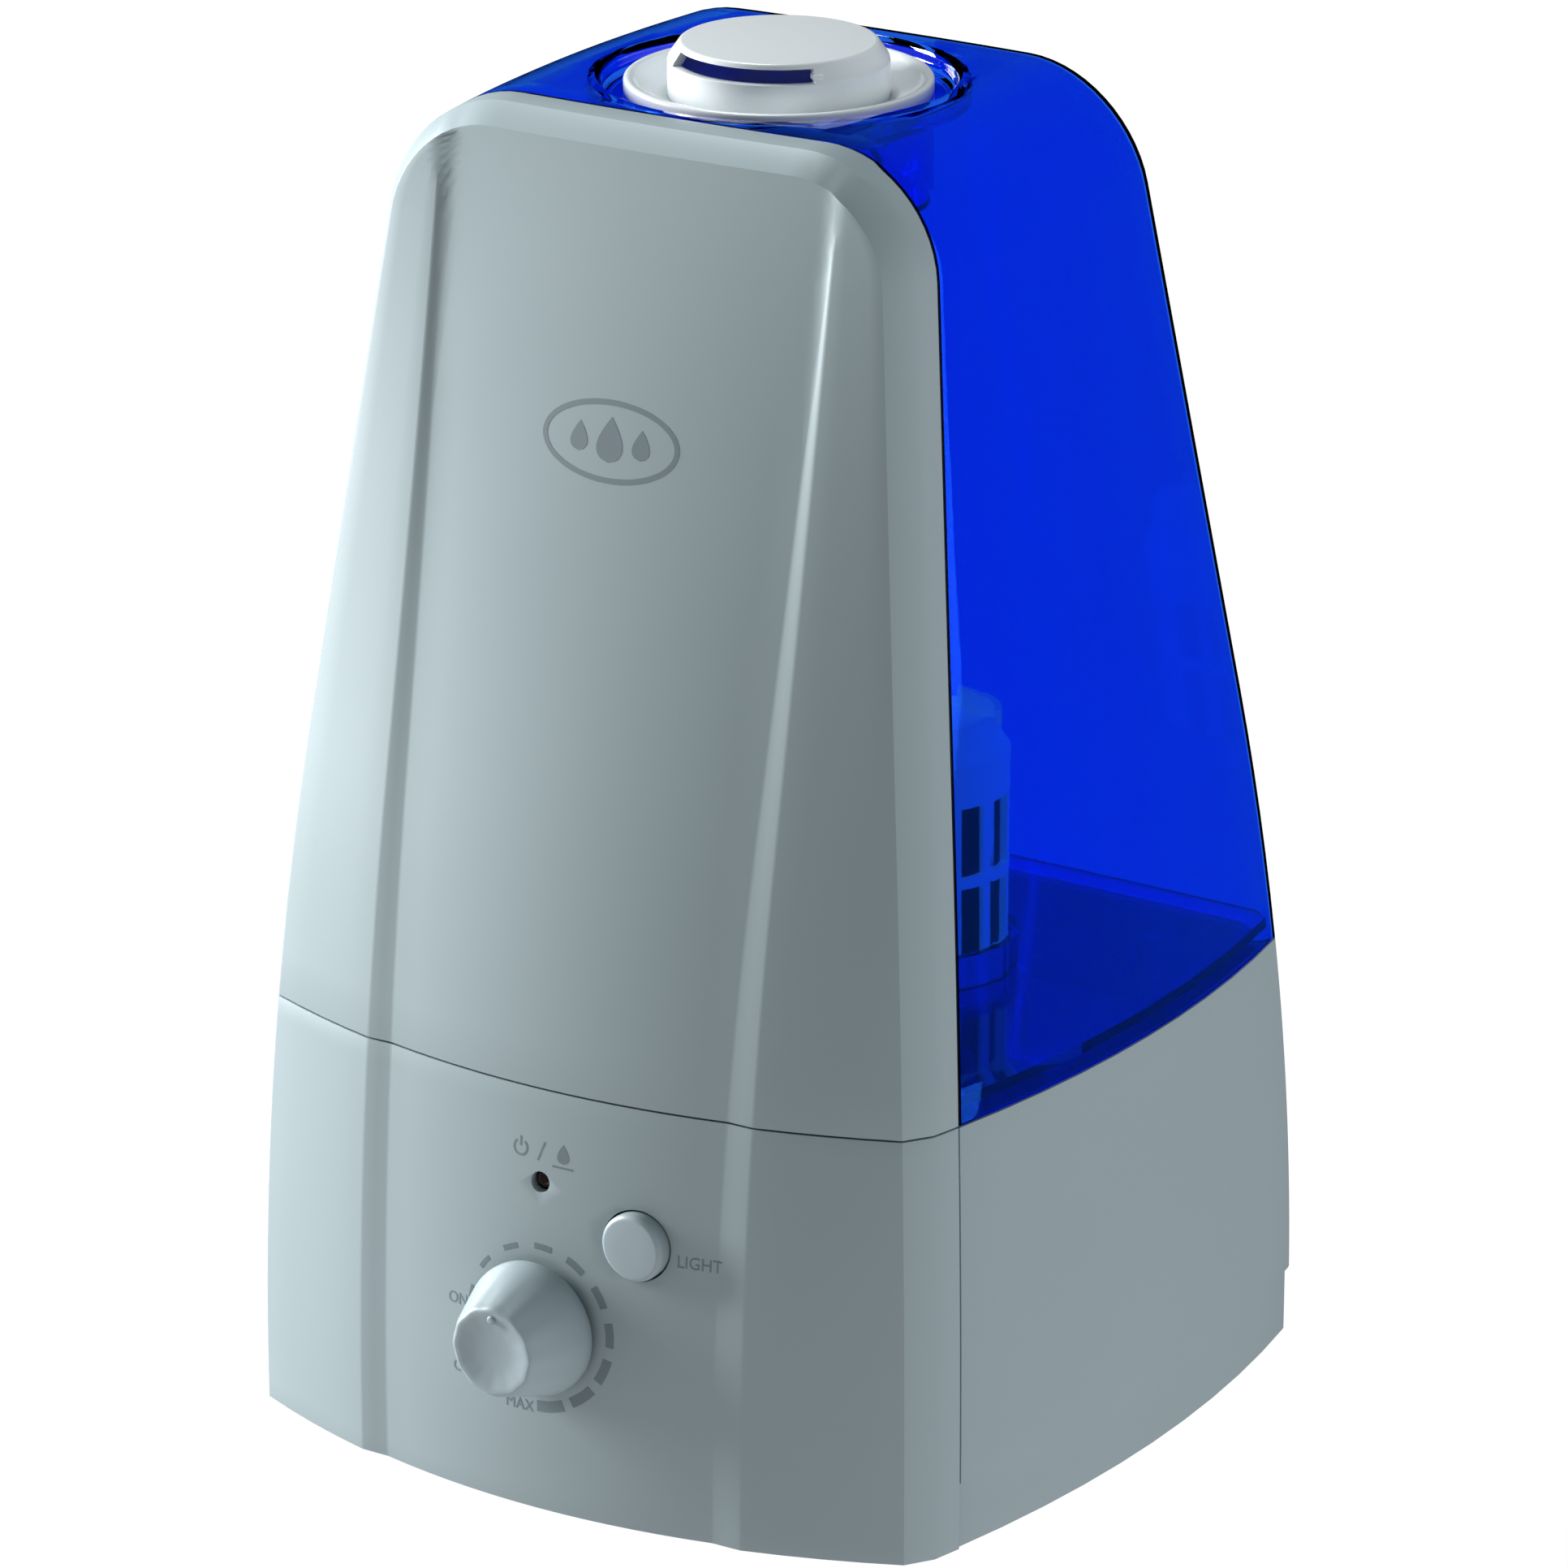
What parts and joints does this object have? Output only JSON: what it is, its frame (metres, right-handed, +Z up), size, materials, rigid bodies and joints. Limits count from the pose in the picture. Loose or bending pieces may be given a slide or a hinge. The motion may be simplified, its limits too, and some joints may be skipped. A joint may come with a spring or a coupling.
{
  "type": "cool mist humidifier",
  "caption": "Tabletop ultrasonic humidifier: tapered base with dial and button, lift-off water tank with front cover, screw cap and a turning mist nozzle.",
  "frame": {"origin": "centre of the whole object's footprint box, on the plane the feet stand on", "axes": "+Z up, the control panel faces -Y, +X is to the right of someone facing the panel"},
  "size_m": [0.2178, 0.2144, 0.3407],
  "materials": {
    "silver_housing": "satin silver-grey moulded ABS",
    "white_controls": "glossy near-white moulded ABS",
    "white_inner": "satin white moulded polypropylene",
    "blue_tank": "clear deep-blue moulded polycarbonate",
    "dark_rubber": "matt black rubber",
    "seal_silicone": "soft silicone",
    "dark_plastic": "black glass-filled nylon",
    "steel_parts": "zinc-plated steel",
    "aluminium_parts": "extruded aluminium",
    "circuit_board": "green solder-masked glass-epoxy",
    "coil_parts": "taped ferrite transformer",
    "capacitor_sleeve": "sleeved aluminium can",
    "piezo_ceramic": "plated ceramic disc",
    "lamp_lens": "diffused epoxy lamp",
    "filter_media": "resin beads"
  },
  "bodies": {
    "base": {"base_front_panel": "silver_housing", "base_rear_housing": "silver_housing", "bottom_plate": "silver_housing", "rubber_feet": "dark_rubber", "housing_screws": "steel_parts", "water_basin": "white_inner", "mist_chamber": "white_inner", "transducer_gasket": "seal_silicone", "piezo_disc": "piezo_ceramic", "transducer_clamp": "steel_parts", "transducer_screws": "steel_parts", "float_clip": "white_inner", "air_duct": "white_inner", "fan_frame": "dark_plastic", "power_board": "circuit_board", "power_transformer": "coil_parts", "capacitors": "capacitor_sleeve", "driver_board": "circuit_board", "heat_sink": "aluminium_parts", "board_screws": "steel_parts", "control_board": "circuit_board", "potentiometer": "steel_parts", "button_spring": "steel_parts", "light_switch": "dark_plastic", "pilot_lamp": "lamp_lens", "night_light_leds": "lamp_lens", "light_window": "white_inner", "cord_gland": "dark_rubber"},
    "float": {"float_ring": "white_inner"},
    "fan": {"fan_rotor": "dark_plastic"},
    "knob": {"mist_knob": "white_controls", "potentiometer_shaft": "steel_parts"},
    "button": {"light_button": "white_controls"},
    "tank": {"tank_shell": "blue_tank", "tank_floor": "blue_tank", "front_cover": "silver_housing", "mist_duct": "blue_tank"},
    "collar": {"nozzle_collar": "white_controls", "splash_baffle": "white_inner"},
    "nozzle": {"mist_nozzle": "white_controls"},
    "gasket": {"cap_gasket": "dark_rubber"},
    "cap": {"tank_cap": "white_inner", "cartridge_cage": "blue_tank", "cartridge_mesh": "dark_plastic", "cartridge_media": "filter_media", "cartridge_lid": "white_inner", "valve_spring": "steel_parts"},
    "valve": {"valve_plunger": "white_inner", "valve_seal": "seal_silicone"}
  },
  "joints": [
    {"name": "tank_lift", "type": "slide", "parent": "base", "child": "tank", "axis": [0, 0, 1], "range_m": [0, 0.15]},
    {"name": "nozzle_lift", "type": "slide", "parent": "tank", "child": "collar", "axis": [0, 0, 1], "range_m": [0, 0.06]},
    {"name": "nozzle_turn", "type": "hinge", "parent": "collar", "child": "nozzle", "pos_m": [0, 0.02335, 0.3225], "axis": [0, 0, 1], "continuous": true},
    {"name": "cap_drop", "type": "slide", "parent": "tank", "child": "gasket", "axis": [0, 0, -1], "range_m": [0, 0.003]},
    {"name": "cap_turn", "type": "hinge", "parent": "gasket", "child": "cap", "pos_m": [0.0405, 0.02565, 0.0945], "axis": [0, 0, -1], "range_deg": [0, 360]},
    {"name": "valve_slide", "type": "slide", "parent": "tank", "child": "valve", "axis": [0, 0, -1], "range_m": [0, 0.003], "deforming": ["valve_spring"]},
    {"name": "float_rise", "type": "slide", "parent": "base", "child": "float", "axis": [0, 0, 1], "range_m": [0, 0.006]},
    {"name": "fan_spin", "type": "hinge", "parent": "base", "child": "fan", "pos_m": [-0.048, 0.02335, 0.0175], "axis": [0, 0, 1], "continuous": true},
    {"name": "knob_turn", "type": "hinge", "parent": "base", "child": "knob", "pos_m": [0, -0.08685, 0.05], "axis": [0, -1, 0], "range_deg": [-165, 135]},
    {"name": "button_press", "type": "slide", "parent": "base", "child": "button", "axis": [0, 1, 0], "range_m": [0, 0.0015], "stiffness_N_per_m": 400, "deforming": ["button_spring"]}
  ],
  "couplings": [
    {"joint": "cap_turn", "follows": "cap_drop", "rad_per_m": 2094},
    {"joint": "valve_slide", "follows": "tank_lift", "ratio": 0.0192}
  ]
}
